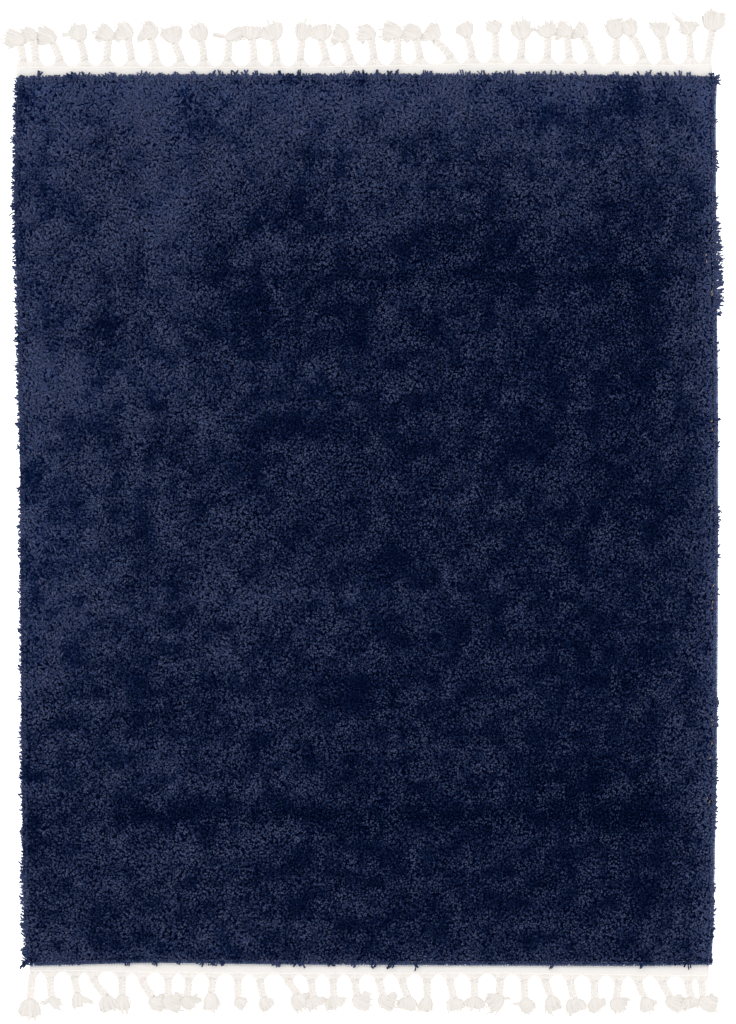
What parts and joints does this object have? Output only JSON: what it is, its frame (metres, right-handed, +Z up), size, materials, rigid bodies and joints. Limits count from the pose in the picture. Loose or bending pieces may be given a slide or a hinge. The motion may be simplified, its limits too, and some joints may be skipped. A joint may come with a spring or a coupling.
{
  "type": "shag rug",
  "caption": "Rectangular deep-pile rug lying flat, with overcast edges and a cream tape of braided tassels across each short end.",
  "frame": {"origin": "on the floor under the middle of the whole rug, fringes counted", "axes": "+X across the rug to its right side, +Y along the rug to its upper end, +Z up out of the pile"},
  "size_m": [1.6477, 2.3093, 0.03],
  "materials": {
    "pile_yarn": "dense navy shag pile, leaning, matt with a faint sheen",
    "binding_yarn": "navy yarn wrapped closely over the edge",
    "fringe_cotton": "cream cotton, flat woven tape with braided and unravelled yarn"
  },
  "bodies": {
    "root": {"pile_body": "pile_yarn", "side_binding_left": "binding_yarn", "side_binding_right": "binding_yarn", "end_binding_upper": "binding_yarn", "end_binding_lower": "binding_yarn", "fringe_upper": "fringe_cotton", "fringe_lower": "fringe_cotton"}
  },
  "joints": []
}
